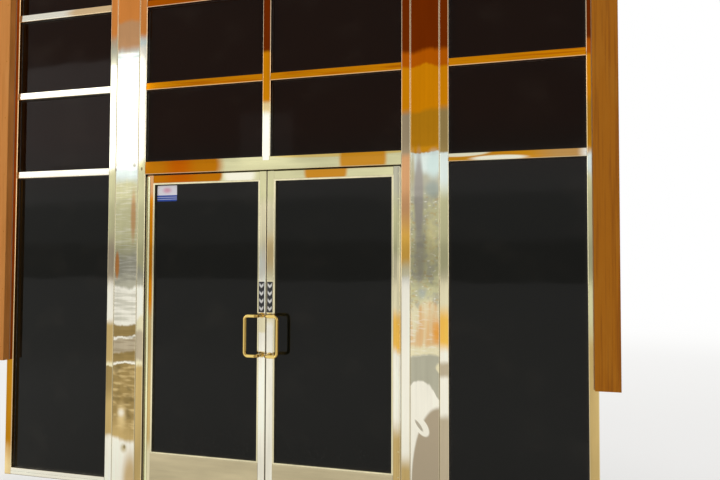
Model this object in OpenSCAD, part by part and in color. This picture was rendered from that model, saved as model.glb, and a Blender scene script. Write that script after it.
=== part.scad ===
// Brass entrance screen: a pair of glass doors that swing outwards between two wide pilasters,
// a glazed sidelight beyond each pilaster and rows of transom lights above.
// X runs to the right seen from outside, Y runs into the building, Z is up.
// The origin is on the underside of the threshold, halfway between the leaves and halfway
// through the depth of the frame.

/* [Doorway] */
// Clear width between the two door posts, for two leaves
pair_w = 1829; // [1500:1:2200]
// Height of the header's underside above the floor
header_z = 2160; // [1950:1:2500]
// Face height of the header over the doors
header_h = 89; // [70:1:160]
// Height of the threshold
threshold_h = 13; // [8:1:25]
// Front to back size of the threshold
threshold_d = 102; // [60:1:110]
// Section of the square strip that the doors close against
stop_strip = 16; // [10:1:25]

/* [Frame members] */
// Face width of the posts
face_w = 57; // [45:1:90]
// Face height of the level bars and the head
bar_h = 50; // [45:1:90]
// Height of the glazing bead that runs along the top of a level member
top_bead_h = 25; // [20:1:40]
// Distance that a glazing bead stands back from the member under it
top_bead_set = 1.5; // [0.5:0.5:2]
// Front to back size of every frame member
frame_d = 114; // [95:1:160]
// Radius of the bent brass edges
edge_r = 6; // [2:0.5:10]
// Wall of the hollow members
tube_wall = 3; // [2:0.5:5]
// Height of the sidelight sills
sill_h = 50; // [40:1:120]

/* [Bays] */
// Width of the flat brass panel in each pilaster
panel_w = 182; // [80:1:400]
// Thickness of the pilaster's brass sheet
sheet_t = 2; // [1:0.5:4]
// Depth of the pilaster panel's folded sides
panel_return = 25; // [12:1:45]
// Width of glass seen in each sidelight
side_w = 800; // [400:1:1300]
// Height of the first sidelight bar's middle above the floor
first_bar_z = 2191; // [2000:1:2600]
// Spacing of the transom bars
row_pitch = 586; // [350:1:900]
// Rows of transom lights
rows = 3; // [1:1:5]

/* [Fixed glazing] */
// Thickness of the fixed glass
glass_t = 6; // [5:1:10]
// Distance from the front of the frame to the glass
glass_set = 33; // [25:1:60]
// Depth of the slots that hold the glass
slot_depth = 13; // [8:1:16]
// Length of glass inside a slot
glass_bite = 10; // [5:1:12]
// Thickness of the rubber on each face of the glass
gasket_t = 6; // [3:1:8]
// Height of rubber that shows past the brass
gasket_lip = 3; // [1:0.5:6]

/* [Door leaves] */
// Thickness of a leaf
leaf_t = 44.5; // [38:0.5:57]
// Distance that the leaves stand back from the front of the frame
leaf_set = 19; // [16:1:24]
// Width of the door stiles
stile_w = 48; // [40:1:120]
// Height of the top rail
top_rail_h = 55; // [40:1:150]
// Height of the bottom rail
bottom_rail_h = 220; // [80:1:320]
// Radius of the stile and rail edges
leaf_r = 3; // [1:0.5:5]
// Gap between the two leaves
meeting_gap = 8; // [7:0.5:14]
// Gap over the leaves
top_gap = 7; // [5:0.5:12]
// Gap between the leaves and the threshold
bottom_gap = 7; // [5:0.5:15]
// Gap between a leaf's edge and the hinge plate on the post
edge_gap = 5; // [5:0.5:8]
// Gap between a closed leaf and the strip behind it
stop_gap = 6; // [5:0.5:10]
// Width of the beads around the door glass
bead_w = 10; // [6:1:20]
// Distance that the beads stand back from the faces of a leaf
bead_set = 1.5; // [0.5:0.5:4]
// Thickness of the door glass
leaf_glass_t = 6; // [5:1:12]
// Length of door glass behind a bead
leaf_bite = 7; // [4:0.5:8]
// Thickness of the rubber on each face of the door glass
leaf_gasket_t = 3; // [2:0.5:5]
// Width of rubber that shows past the beads
leaf_lip = 2; // [1:0.5:4]

/* [Continuous hinges] */
// Diameter of the hinge barrel
barrel_d = 12; // [9:0.5:13]
// Diameter of the hinge pin
pin_d = 5; // [3:0.5:6]
// Radial clearance of the pin in the turning knuckles
pin_play = 0.1; // [0.05:0.01:0.2]
// Clearance of the barrel from the post and from the leaf's face
barrel_play = 0.5; // [0.3:0.1:1]
// Thickness of the hinge plates
plate_t = 2.5; // [2:0.5:3]
// Width of the plate on the face of the leaf
leaf_plate_w = 16; // [10:1:30]
// Depth of the plate on the side of the post
post_plate_d = 32; // [20:1:38]
// Distance that a hinge stops short of the leaf's top and bottom
hinge_inset = 9; // [5:1:40]
// Knuckles in one hinge
knuckles = 27; // [9:2:41]
// Gap between neighbouring knuckles
knuckle_gap = 0.6; // [0.4:0.1:1]

/* [Pull handles] */
// Diameter of the bar
pull_d = 22; // [16:1:28]
// Height of the grip's middle above the floor
pull_z = 1073; // [900:1:1200]
// Height between the two feet of a pull
pull_h = 258; // [200:1:500]
// Distance from the leaf's face to the middle of the grip
pull_out = 80; // [60:1:110]
// Sideways offset of the grip from its feet
pull_side = 86; // [60:1:120]
// Bend radius of the bar, at its middle
pull_bend = 24; // [18:1:28]
// Diameter of the round plate at each foot
rose_d = 34; // [30:1:44]
// Thickness of the round plate at each foot
rose_t = 4; // [2:0.5:8]

/* [Side casings] */
// Width of the timber casing boards
casing_w = 140; // [60:1:240]
// Thickness of the timber casing boards
casing_t = 60; // [19:1:90]
// Face of the jamb left bare beside a casing
jamb_reveal = 32; // [10:1:40]
// Depth of the groove behind a casing that clears the jamb's outer edge
casing_groove = 3; // [2:0.5:10]
// Height of the casing's lower end above the floor
casing_z = 833; // [0:1:1200]
// Radius of the casing's front edges
casing_r = 5; // [2:1:10]

/* [Hidden] */
$fn = 48;

brass = [0.80, 0.58, 0.27];
brass_dark = [0.66, 0.45, 0.18];
tinted = [0.13, 0.10, 0.07, 0.85];
rubber = [0.06, 0.06, 0.06];
timber = [0.66, 0.38, 0.12];

// Directions across a member's section: a post's left and right, a bar's top and underside
LEFT = -1;
RIGHT = 1;
TOP = -1;
UNDER = 1;
// Allowance that keeps a cut from ending flush with a face
cut = 1;

front_y = -frame_d / 2;
glass_y = front_y + glass_set + glass_t / 2;
slot_w = glass_t + 2 * gasket_t;

// Places along X on the right-hand side; the left-hand side is their mirror image
post_x0 = pair_w / 2;
panel_x0 = post_x0 + face_w;
outer_x0 = panel_x0 + panel_w;
side_x0 = outer_x0 + face_w;
side_x1 = side_x0 + side_w;
jamb_x1 = side_x1 + face_w;

// Middle height of the sidelight bar over row k of the lights; the last one is the head
function bar_z(k) = first_bar_z + k * row_pitch;
head_z = bar_z(rows);
top_z = head_z + bar_h / 2;
header_top = header_z + header_h;

// Lower and upper edge of the glass seen in row k of a sidelight and of the middle bay
function side_row(k) = k == 0
    ? [sill_h, bar_z(0) - bar_h / 2]
    : [bar_z(k - 1) + bar_h / 2, bar_z(k) - bar_h / 2];
function center_row(k) = k == 1
    ? [header_top, bar_z(1) - bar_h / 2]
    : side_row(k);

// Door leaf on the right-hand side
leaf_x0 = meeting_gap / 2;
leaf_x1 = post_x0 - plate_t - edge_gap;
leaf_y0 = front_y + leaf_set;
leaf_y = leaf_y0 + leaf_t / 2;
leaf_y1 = leaf_y0 + leaf_t;
leaf_z0 = threshold_h + bottom_gap;
leaf_z1 = header_z - top_gap;
rail_z0 = leaf_z0 + bottom_rail_h;
rail_z1 = leaf_z1 - top_rail_h;
rail_x0 = leaf_x0 + stile_w;
rail_x1 = leaf_x1 - stile_w;

// Hinge line of the right-hand leaf
barrel_r = barrel_d / 2;
axis_x = post_x0 - barrel_play - barrel_r;
axis_y = leaf_y0 - barrel_play - barrel_r;
hinge_z0 = leaf_z0 + hinge_inset;
knuckle_pitch = (leaf_z1 - leaf_z0 - 2 * hinge_inset) / knuckles;

// Section of a round-edged bar, centred
module round_rect(w, d, r) {
    square([w - 2 * r, d], center = true);
    square([w, d - 2 * r], center = true);
    for (x = [-1, 1])
        for (y = [-1, 1])
            translate([x * (w / 2 - r), y * (d / 2 - r)])
                circle(r = r);
}

// Glazing slot in the side of a section, or the metal around it when grow is the wall
module slot_2d(side, w, grow) {
    translate([side * w / 2, glass_y])
        square([2 * (slot_depth + grow), slot_w + 2 * grow], center = true);
}

// Section of a hollow frame member with a glazing slot in each named side
module member_2d(w, sides) {
    difference() {
        round_rect(w, frame_d, edge_r);
        difference() {
            square([w - 2 * tube_wall, frame_d - 2 * tube_wall], center = true);
            for (side = sides)
                slot_2d(side, w, tube_wall);
        }
        for (side = sides)
            slot_2d(side, w, 0);
    }
}

// Section of a level member, whose upper band is the glazing bead
module bar_2d(h, sides) {
    difference() {
        member_2d(h, sides);
        for (y = [-1, 1])
            translate([TOP * h / 2, y * frame_d / 2])
                square([2 * top_bead_h, 2 * top_bead_set], center = true);
    }
}

// Upright frame member whose left edge is at x
module post(x, z0, z1, sides) {
    translate([x + face_w / 2, 0, z0])
        linear_extrude(z1 - z0)
            member_2d(face_w, sides);
}

// Level frame member with its middle at height z
module bar(x0, x1, z, h, sides) {
    translate([x0, 0, z])
        rotate([0, 90, 0])
            linear_extrude(x1 - x0)
                bar_2d(h, sides);
}

// Flat sheet that runs past its opening by an edge on each side
module pane(x, z, edge, y0, t) {
    translate([x[0] - edge, y0, z[0] - edge])
        cube([x[1] - x[0] + 2 * edge, t, z[1] - z[0] + 2 * edge]);
}

// Square ring around an opening, from outer past its edge to inner short of it
module ring(x, z, outer, inner, y0, t) {
    difference() {
        pane(x, z, outer, y0, t);
        pane(x, z, -inner, y0 - cut, t + 2 * cut);
    }
}

// Fixed glass in one opening
module light(x, z) {
    pane(x, z, glass_bite, glass_y - glass_t / 2, glass_t);
}

// Rubber on both faces of the fixed glass in one opening
module light_gaskets(x, z) {
    for (y0 = [glass_y - slot_w / 2, glass_y + glass_t / 2])
        ring(x, z, glass_bite, gasket_lip, y0, gasket_t);
}

// Fluted saddle between the door posts
module threshold() {
    flutes = 5;
    flute_w = 4;
    flute_depth = 2;
    slope = 12;
    lip = 4;
    flat_d = threshold_d - 2 * slope;
    color(brass_dark)
        translate([-post_x0, 0, 0])
            rotate([90, 0, 90])
                linear_extrude(pair_w)
                    difference() {
                        polygon([
                            [-threshold_d / 2, 0], [threshold_d / 2, 0], [threshold_d / 2, lip],
                            [flat_d / 2, threshold_h], [-flat_d / 2, threshold_h],
                            [-threshold_d / 2, lip]
                        ]);
                        for (i = [1 : flutes])
                            translate([-flat_d / 2 + flat_d * i / (flutes + 1), threshold_h])
                                square([flute_w, 2 * flute_depth], center = true);
                    }
}

module sidelight_sills() {
    color(brass) {
        bar(side_x0, side_x1, sill_h / 2, sill_h, [TOP]);
        bar(-side_x1, -side_x0, sill_h / 2, sill_h, [TOP]);
    }
}

module right_jamb() {
    color(brass)
        post(side_x1, 0, top_z, [LEFT]);
}

module right_outer_mullion() {
    color(brass)
        post(outer_x0, 0, top_z, [RIGHT]);
}

// Post that carries a leaf, with a glazing slot only where there is glass over the header
module right_inner_mullion() {
    slot_z0 = header_top - slot_depth;
    color(brass) {
        post(post_x0, 0, slot_z0, []);
        post(post_x0, slot_z0, top_z, [LEFT]);
    }
}

// Folded brass sheet between the two mullions, with its open side towards the middle
module panel_sheet(face) {
    r = min(edge_r, panel_return - sheet_t);
    translate([panel_x0 + panel_w / 2, 0, 0])
        linear_extrude(top_z - sheet_t)
            mirror([0, face, 0])
                translate([0, front_y])
                    difference() {
                        translate([0, panel_return])
                            intersection() {
                                round_rect(panel_w, 2 * panel_return, r);
                                translate([-panel_w / 2, -panel_return])
                                    square([panel_w, panel_return]);
                            }
                        translate([0, panel_return + sheet_t])
                            round_rect(panel_w - 2 * sheet_t, 2 * panel_return, r - sheet_t);
                    }
}

module right_pilaster_panels() {
    color(brass)
        for (face = [0, 1])
            panel_sheet(face);
}

module door_header() {
    color(brass)
        bar(-post_x0, post_x0, header_z + header_h / 2, header_h, [TOP]);
}

// Post in the middle of the transoms, whose faces run down over the header's glazing bead
module transom_mullion() {
    color(brass) {
        post(-face_w / 2, header_top, top_z, [LEFT, RIGHT]);
        for (face = [0, 1])
            mirror([0, face, 0])
                translate([edge_r - face_w / 2, front_y, header_top - top_bead_h])
                    cube([face_w - 2 * edge_r, top_bead_set, top_bead_h + cut]);
    }
}

module right_bars() {
    color(brass)
        for (k = [0 : rows - 1])
            bar(side_x0, side_x1, bar_z(k), bar_h, [TOP, UNDER]);
}

module center_bars() {
    color(brass)
        for (k = [1 : 1 : rows - 1]) {
            bar(face_w / 2, post_x0, bar_z(k), bar_h, [TOP, UNDER]);
            bar(-post_x0, -face_w / 2, bar_z(k), bar_h, [TOP, UNDER]);
        }
}

// Head over every bay, and the plate that closes the top of each pilaster
module head_members() {
    module side_head() {
        bar(face_w / 2, post_x0, head_z, bar_h, [UNDER]);
        bar(side_x0, side_x1, head_z, bar_h, [UNDER]);
        translate([panel_x0, front_y, top_z - sheet_t])
            cube([panel_w, frame_d, sheet_t]);
    }
    color(brass) {
        side_head();
        mirror([1, 0, 0])
            side_head();
    }
}

// Strip on the header and the posts that the leaves close against
module door_stops() {
    y0 = leaf_y1 + stop_gap;
    inside = post_x0 - stop_strip;
    color(brass)
        difference() {
            translate([-post_x0, y0, threshold_h])
                cube([pair_w, stop_strip, header_z - threshold_h]);
            translate([-inside, y0 - cut, threshold_h - cut])
                cube([2 * inside, stop_strip + 2 * cut, header_z - threshold_h - stop_strip + cut]);
        }
}

// Height of the lower end of knuckle i of a hinge
function knuckle_z(i) = hinge_z0 + i * knuckle_pitch + knuckle_gap / 2;
knuckle_h = knuckle_pitch - knuckle_gap;

// Half of the hinge on the post: a plate down the side of the post, its knuckles and the pin
module right_post_hinge() {
    plate_y0 = axis_y + barrel_r + barrel_play;
    color(brass) {
        translate([post_x0 - plate_t, plate_y0, hinge_z0])
            cube([plate_t, post_plate_d, knuckles * knuckle_pitch]);
        for (i = [0 : 2 : knuckles - 1])
            translate([axis_x, axis_y, knuckle_z(i)]) {
                cylinder(d = barrel_d, h = knuckle_h);
                translate([post_x0 - axis_x - plate_t, 0, 0])
                    cube([plate_t, barrel_r + barrel_play + cut, knuckle_h]);
            }
        translate([axis_x, axis_y, knuckle_z(0)])
            cylinder(d = pin_d, h = (knuckles - 1) * knuckle_pitch + knuckle_h);
    }
}

// Half of the hinge on the leaf: a plate on the leaf's face and the knuckles that turn
module right_door_hinge() {
    plate_x1 = axis_x - barrel_r - barrel_play;
    color(brass) {
        translate([plate_x1 - leaf_plate_w, leaf_y0 - plate_t, hinge_z0])
            cube([leaf_plate_w, plate_t, knuckles * knuckle_pitch]);
        for (i = [1 : 2 : knuckles - 2])
            translate([axis_x, axis_y, knuckle_z(i)])
                difference() {
                    union() {
                        cylinder(d = barrel_d, h = knuckle_h);
                        translate([plate_x1 - axis_x - cut, leaf_y0 - plate_t - axis_y, 0])
                            cube([axis_x - plate_x1 + cut, plate_t, knuckle_h]);
                    }
                    translate([0, 0, -cut])
                        cylinder(d = pin_d + 2 * pin_play, h = knuckle_h + 2 * cut);
                }
    }
}

module right_sidelight_glass() {
    color(tinted)
        light([side_x0, side_x1], side_row(0));
}

module right_transom_glass() {
    color(tinted)
        for (k = [1 : rows])
            light([side_x0, side_x1], side_row(k));
}

module center_transom_glass() {
    color(tinted)
        for (k = [1 : rows]) {
            light([face_w / 2, post_x0], center_row(k));
            light([-post_x0, -face_w / 2], center_row(k));
        }
}

module glazing_gaskets() {
    module side_gaskets() {
        for (k = [0 : rows])
            light_gaskets([side_x0, side_x1], side_row(k));
        for (k = [1 : rows])
            light_gaskets([face_w / 2, post_x0], center_row(k));
    }
    color(rubber) {
        side_gaskets();
        mirror([1, 0, 0])
            side_gaskets();
    }
}

// Timber board over the outer edge of the jamb, lying on the jamb and on the wall beside it
module right_casing() {
    middle = side_x1 + jamb_reveal + casing_w / 2;
    groove_room = 2;
    color(timber)
        translate([middle, front_y, casing_z])
            linear_extrude(top_z - casing_z)
                difference() {
                    round_rect(casing_w, 2 * casing_t, casing_r);
                    translate([-casing_w / 2 - cut, 0])
                        square([casing_w + 2 * cut, casing_t + cut]);
                    translate([jamb_x1 - edge_r - middle, -casing_groove])
                        square([edge_r + groove_room, casing_groove + cut]);
                }
}

// Section of a hollow door member
module leaf_tube_2d(w) {
    difference() {
        round_rect(w, leaf_t, leaf_r);
        square([w - 2 * tube_wall, leaf_t - 2 * tube_wall], center = true);
    }
}

module leaf_stile(x0) {
    color(brass)
        translate([x0 + stile_w / 2, leaf_y, leaf_z0])
            linear_extrude(leaf_z1 - leaf_z0)
                leaf_tube_2d(stile_w);
}

module leaf_rail(z0, h) {
    color(brass)
        translate([rail_x0, leaf_y, z0 + h / 2])
            rotate([0, 90, 0])
                linear_extrude(rail_x1 - rail_x0)
                    leaf_tube_2d(h);
}

module right_door_hinge_stile() {
    leaf_stile(rail_x1);
}

module right_door_meeting_stile() {
    leaf_stile(leaf_x0);
}

module right_door_top_rail() {
    leaf_rail(rail_z1, top_rail_h);
}

module right_door_bottom_rail() {
    leaf_rail(leaf_z0, bottom_rail_h);
}

// Glass seen inside the beads of a leaf
leaf_light_x = [rail_x0 + bead_w, rail_x1 - bead_w];
leaf_light_z = [rail_z0 + bead_w, rail_z1 - bead_w];
bead_t = (leaf_t - leaf_glass_t) / 2 - leaf_gasket_t - bead_set;

module right_door_glass() {
    color(tinted)
        pane(leaf_light_x, leaf_light_z, leaf_bite, leaf_y - leaf_glass_t / 2, leaf_glass_t);
}

module right_door_beads() {
    color(brass)
        for (y0 = [leaf_y0 + bead_set, leaf_y1 - bead_set - bead_t])
            ring(leaf_light_x, leaf_light_z, bead_w, 0, y0, bead_t);
}

module right_door_gaskets() {
    color(rubber)
        for (y0 = [leaf_y - leaf_glass_t / 2 - leaf_gasket_t, leaf_y + leaf_glass_t / 2])
            ring(leaf_light_x, leaf_light_z, leaf_bite, leaf_lip, y0, leaf_gasket_t);
}

// Quarter bend of the pull's bar in the XY plane, from +X round to +Y about the origin
module bend() {
    rotate_extrude(angle = 90)
        translate([pull_bend, 0])
            circle(d = pull_d);
}

// Upper half of a pull, standing towards -Y from a foot at the origin, with its grip at +X
module half_pull() {
    side_run = pull_side - 2 * pull_bend;
    rotate([90, 0, 0]) {
        cylinder(d = rose_d, h = rose_t);
        cylinder(d = pull_d, h = pull_out - pull_bend);
    }
    translate([pull_bend, -pull_out + pull_bend, 0])
        rotate([0, 0, 180])
            bend();
    translate([pull_bend, -pull_out, 0])
        rotate([0, 90, 0])
            cylinder(d = pull_d, h = side_run);
    translate([pull_side - pull_bend, -pull_out, -pull_bend])
        rotate([90, 0, 0])
            bend();
    translate([pull_side, -pull_out, -pull_h / 2])
        cylinder(d = pull_d, h = pull_h / 2 - pull_bend);
}

// Whole pull on the front of the right-hand leaf
module pull() {
    for (flip = [0, 1])
        mirror([0, 0, flip])
            translate([0, 0, pull_h / 2])
                half_pull();
}

// Pulls back to back on both faces of the meeting stile
module right_door_pulls() {
    color(brass)
        translate([leaf_x0 + stile_w / 2, leaf_y, pull_z])
            for (face = [0, 1])
                mirror([0, face, 0])
                    translate([0, -leaf_t / 2, 0])
                        pull();
}

module left_jamb() { mirror([1, 0, 0]) right_jamb(); }
module left_outer_mullion() { mirror([1, 0, 0]) right_outer_mullion(); }
module left_inner_mullion() { mirror([1, 0, 0]) right_inner_mullion(); }
module left_pilaster_panels() { mirror([1, 0, 0]) right_pilaster_panels(); }
module left_bars() { mirror([1, 0, 0]) right_bars(); }
module left_post_hinge() { mirror([1, 0, 0]) right_post_hinge(); }
module left_sidelight_glass() { mirror([1, 0, 0]) right_sidelight_glass(); }
module left_transom_glass() { mirror([1, 0, 0]) right_transom_glass(); }
module left_casing() { mirror([1, 0, 0]) right_casing(); }
module left_door_hinge_stile() { mirror([1, 0, 0]) right_door_hinge_stile(); }
module left_door_meeting_stile() { mirror([1, 0, 0]) right_door_meeting_stile(); }
module left_door_top_rail() { mirror([1, 0, 0]) right_door_top_rail(); }
module left_door_bottom_rail() { mirror([1, 0, 0]) right_door_bottom_rail(); }
module left_door_glass() { mirror([1, 0, 0]) right_door_glass(); }
module left_door_beads() { mirror([1, 0, 0]) right_door_beads(); }
module left_door_gaskets() { mirror([1, 0, 0]) right_door_gaskets(); }
module left_door_hinge() { mirror([1, 0, 0]) right_door_hinge(); }
module left_door_pulls() { mirror([1, 0, 0]) right_door_pulls(); }

threshold();
sidelight_sills();
left_jamb();
right_jamb();
left_outer_mullion();
left_inner_mullion();
right_inner_mullion();
right_outer_mullion();
left_pilaster_panels();
right_pilaster_panels();
door_header();
transom_mullion();
left_bars();
center_bars();
right_bars();
head_members();
door_stops();
left_post_hinge();
right_post_hinge();
left_sidelight_glass();
right_sidelight_glass();
left_transom_glass();
center_transom_glass();
right_transom_glass();
glazing_gaskets();
left_casing();
right_casing();
left_door_hinge_stile();
left_door_meeting_stile();
left_door_top_rail();
left_door_bottom_rail();
left_door_glass();
left_door_beads();
left_door_gaskets();
left_door_hinge();
left_door_pulls();
right_door_hinge_stile();
right_door_meeting_stile();
right_door_top_rail();
right_door_bottom_rail();
right_door_glass();
right_door_beads();
right_door_gaskets();
right_door_hinge();
right_door_pulls();
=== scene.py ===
"""Looks of a brass-clad shopfront entrance: finishes for its members, small fittings, studio and camera."""

import logging
import math
from dataclasses import dataclass
from enum import Enum
from functools import cached_property
from typing import Dict, List, Sequence, Tuple, Union

import bmesh
import bpy
from mathutils import Matrix, Vector


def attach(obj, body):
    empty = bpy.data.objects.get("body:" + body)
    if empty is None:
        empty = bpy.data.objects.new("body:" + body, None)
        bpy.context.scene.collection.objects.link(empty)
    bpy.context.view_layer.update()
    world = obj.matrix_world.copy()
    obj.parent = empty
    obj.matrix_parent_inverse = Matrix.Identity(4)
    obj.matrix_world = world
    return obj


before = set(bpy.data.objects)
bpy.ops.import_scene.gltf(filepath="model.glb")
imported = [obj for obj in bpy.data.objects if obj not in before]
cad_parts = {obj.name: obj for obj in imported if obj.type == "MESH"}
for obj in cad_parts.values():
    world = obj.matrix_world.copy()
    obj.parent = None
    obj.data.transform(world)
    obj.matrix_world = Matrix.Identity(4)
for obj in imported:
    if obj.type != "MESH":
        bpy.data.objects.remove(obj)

LOG = logging.getLogger("entrance")
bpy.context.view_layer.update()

Socket = bpy.types.NodeSocket
Material = bpy.types.Material
Shape = bmesh.types.BMesh
Vert = bmesh.types.BMVert
Edge = bmesh.types.BMEdge
Colour = Tuple[float, float, float]
Point = Tuple[float, float, float]
Pair = Tuple[float, float]
Names = Tuple[str, ...]
Value = Union[float, Tuple[float, ...], Socket]

WHITE: Colour = (1.0, 1.0, 1.0)
FRAME_FACE = -0.057
LEAF_FACE = -0.038
SKIN = 0.05


class Run(Enum):
    """Which way a brass member runs, as its long axis and the axis across its face."""

    UPRIGHT = (2, 0)
    LEVEL = (0, 2)


class Side(Enum):
    """The two sides of the entrance, by their sign along X."""

    LEFT = -1
    RIGHT = 1

    @property
    def label(self) -> str:
        """The side as it stands in the names of nodes and pieces."""
        return self.name.lower()

    @property
    def leaf(self) -> str:
        """The body of the door leaf on this side."""
        return f"{self.label}_door"


class Graph:
    """A node tree that is built one node at a time."""

    def __init__(self, tree: bpy.types.NodeTree) -> None:
        """Empties a material's or the world's tree."""
        self.tree = tree
        tree.nodes.clear()

    def add(self, kind: str, inputs: Dict[Union[str, int], Value], **settings: object) -> bpy.types.Node:
        """Adds one node.

        Args:
            kind: Blender's name of the node type.
            inputs: Other nodes' outputs, numbers, vectors or colours, by input name or number.
            settings: The node's own options.

        Returns:
            The new node.
        """
        node = self.tree.nodes.new(kind)
        for key, setting in settings.items():
            setattr(node, key, setting)
        for key, value in inputs.items():
            socket = node.inputs[key]
            if isinstance(value, Socket):
                self.tree.links.new(value, socket)
            else:
                socket.default_value = (*value, 1.0) if socket.type == "RGBA" else value
        return node

    @cached_property
    def place(self) -> Socket:
        """Object coordinates, which are metres in the shared frame."""
        return self.add("ShaderNodeTexCoord", {}).outputs["Object"]

    def parts(self, vector: Socket) -> List[Socket]:
        """The X, Y and Z of a vector."""
        return list(self.add("ShaderNodeSeparateXYZ", {0: vector}).outputs)

    def height(self) -> Socket:
        """Height above the floor."""
        return self.parts(self.place)[2]

    def calc(self, operation: str, *values: Value) -> Socket:
        """One step of arithmetic, by Blender's name of the operation."""
        return self.add("ShaderNodeMath", dict(enumerate(values)), operation=operation).outputs[0]

    def times(self, first: Value, second: Value) -> Socket:
        """The product of two numbers."""
        return self.calc("MULTIPLY", first, second)

    def length(self, vector: Socket) -> Socket:
        """The length of a vector."""
        return self.add("ShaderNodeVectorMath", {0: vector}, operation="LENGTH").outputs["Value"]

    def rise(self, value: Value, low: float, high: float) -> Socket:
        """A soft step from 0 at low to 1 at high, or back where low is the larger.

        Args:
            value: What is measured.
            low: Where the step starts.
            high: Where it ends.

        Returns:
            A number from 0 to 1.
        """
        ends = {0: value, 1: min(low, high), 2: max(low, high)}
        ends.update({3: 0.0, 4: 1.0} if low < high else {3: 1.0, 4: 0.0})
        return self.add("ShaderNodeMapRange", ends, interpolation_type="SMOOTHSTEP").outputs[0]

    def window(self, value: Value, low: float, high: float, soft: float) -> Socket:
        """1 between two limits and 0 outside, with a step at each that is soft to both sides."""
        up, down = self.rise(value, low - soft, low + soft), self.rise(value, high + soft, high - soft)
        return self.times(up, down)

    def span(self, value: Value, low: float, high: float) -> Socket:
        """Spreads a number from 0 to 1 over a range."""
        return self.calc("MULTIPLY_ADD", value, high - low, low)

    def noise(self, size: Sequence[float], detail: float = 3.0, offset: Point = (0.0, 0.0, 0.0)) -> Socket:
        """Cloudy noise.

        Args:
            size: Size of one cloud along X, Y and Z, in metres.
            detail: How many finer layers are added.
            offset: Shift, so that two uses differ.

        Returns:
            A number around 0.5.
        """
        scale = tuple(1.0 / s for s in size)
        spot = self.add("ShaderNodeMapping", {0: self.place, 1: offset, 3: scale}).outputs[0]
        return self.add("ShaderNodeTexNoise", {"Vector": spot, "Scale": 1.0, "Detail": detail}).outputs[0]

    def tint(self, mask: Value, base: Value, over: Value, share: float = 1.0) -> Socket:
        """Lays a colour over a base, as far as the mask and the share say."""
        shown = mask if share == 1.0 else self.times(mask, share)
        return self.add("ShaderNodeMix", {0: shown, 6: base, 7: over}, data_type="RGBA").outputs[2]

    def scale(self, colour: Value, share: Value) -> Socket:
        """Brightens or darkens a colour, up to white."""
        grown = self.add("ShaderNodeVectorMath", {0: colour, 3: share}, operation="SCALE").outputs[0]
        return self.add("ShaderNodeVectorMath", {0: grown, 1: WHITE}, operation="MINIMUM").outputs[0]

    def spot(self, centre: Point, reach: Point, turn: float = 0.0, soft: float = 0.5) -> Socket:
        """A soft oval mask.

        Args:
            centre: Its middle.
            reach: Half its size along X, Y and Z.
            turn: Turn about Y, in radians.
            soft: Where its fade starts, as a share of its reach.

        Returns:
            1 in the middle and 0 outside.
        """
        moved = self.add("ShaderNodeVectorMath", {0: self.place, 1: centre}, operation="SUBTRACT")
        local = self.add("ShaderNodeMapping", {0: moved.outputs[0], 2: (0.0, -turn, 0.0)})
        scaled = self.add("ShaderNodeVectorMath", {0: local.outputs[0], 1: reach}, operation="DIVIDE")
        return self.rise(self.length(scaled.outputs[0]), 1.0, soft)

    def occlusion(self, distance: float) -> Socket:
        """How deep a point sits in a joint or corner, from 0 in the open to 1."""
        # Ambient occlusion; brass and timber darken by it as dirt and painted shade, glass takes dust by it.
        shade = self.add("ShaderNodeAmbientOcclusion", {"Distance": distance}, samples=4).outputs["AO"]
        return self.rise(shade, 0.85, 0.35)

    def bump(self, height: Socket) -> Socket:
        """The normal of a surface with this height, in metres."""
        return self.add("ShaderNodeBump", {"Height": height, "Distance": 1.0, "Strength": 1.0}).outputs[0]

    def close(self, **inputs: Value) -> None:
        """Ends a material's tree in one Principled shader.

        Args:
            inputs: Its inputs, with underscores for spaces.
        """
        named = {key.replace("_", " "): value for key, value in inputs.items()}
        shader = self.add("ShaderNodeBsdfPrincipled", named)
        self.add("ShaderNodeOutputMaterial", {0: shader.outputs[0]})


@dataclass(frozen=True)
class Finish:
    """A named material that paints its own node tree."""

    name: str

    def paint(self, g: Graph) -> None:
        """Builds the node tree in the material's graph, which is still empty; each finish has its own."""
        raise NotImplementedError(self.name)

    def build(self) -> Material:
        """Makes the material.

        Returns:
            The finished material.
        """
        made = bpy.data.materials.new(self.name)
        made.use_nodes = True
        self.paint(Graph(made.node_tree))
        return made


Dressing = Tuple[Finish, Names]


class Tone(Enum):
    """Colours of brass under old lacquer, used mostly as painted reflections of bright and shaded
    surroundings.
    """

    PEARL = (0.99, 0.95, 0.80)
    FROST = (0.74, 0.82, 0.76)
    STRAW = (0.88, 0.80, 0.52)
    GOLD = (0.92, 0.70, 0.34)
    HONEY = (0.60, 0.43, 0.17)
    BRONZE = (0.36, 0.25, 0.09)
    PEAT = (0.20, 0.14, 0.05)
    LEMON = (0.99, 0.96, 0.60)
    BUTTER = (0.99, 0.73, 0.24)
    TAUPE = (0.56, 0.47, 0.32)
    DUN = (0.40, 0.31, 0.19)
    AMBER = (0.78, 0.275, 0.002)
    OCHRE = (0.55, 0.235, 0.008)
    RUST = (0.57, 0.120, 0.001)
    UMBER = (0.20, 0.028, 0.0006)
    COPPER = (0.82, 0.29, 0.06)
    APRICOT = (0.98, 0.56, 0.10)
    ROSE = (0.66, 0.35, 0.16)
    SAGE = (0.66, 0.63, 0.36)
    SAND = (0.62, 0.53, 0.33)
    SLATE = (0.50, 0.48, 0.36)
    # A near black used for painted shade.
    DEEP_SHADE = (0.045, 0.028, 0.010)


@dataclass(frozen=True)
class Mark:
    """A patch of another colour, mostly painted reflection, highlight or shade and in places a small dark
    mark: a soft oval on a face, by its middle and half its size.
    """

    x: float
    z: float
    wide: float
    high: float
    colour: Colour
    strength: float = 0.8
    soft: float = 0.5
    turn: float = 0.0
    y: float = FRAME_FACE
    deep: float = SKIN

    def mask(self, g: Graph) -> Socket:
        """Where it shows."""
        return g.spot((self.x, self.y, self.z), (self.wide, self.deep, self.high), self.turn, self.soft)


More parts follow.
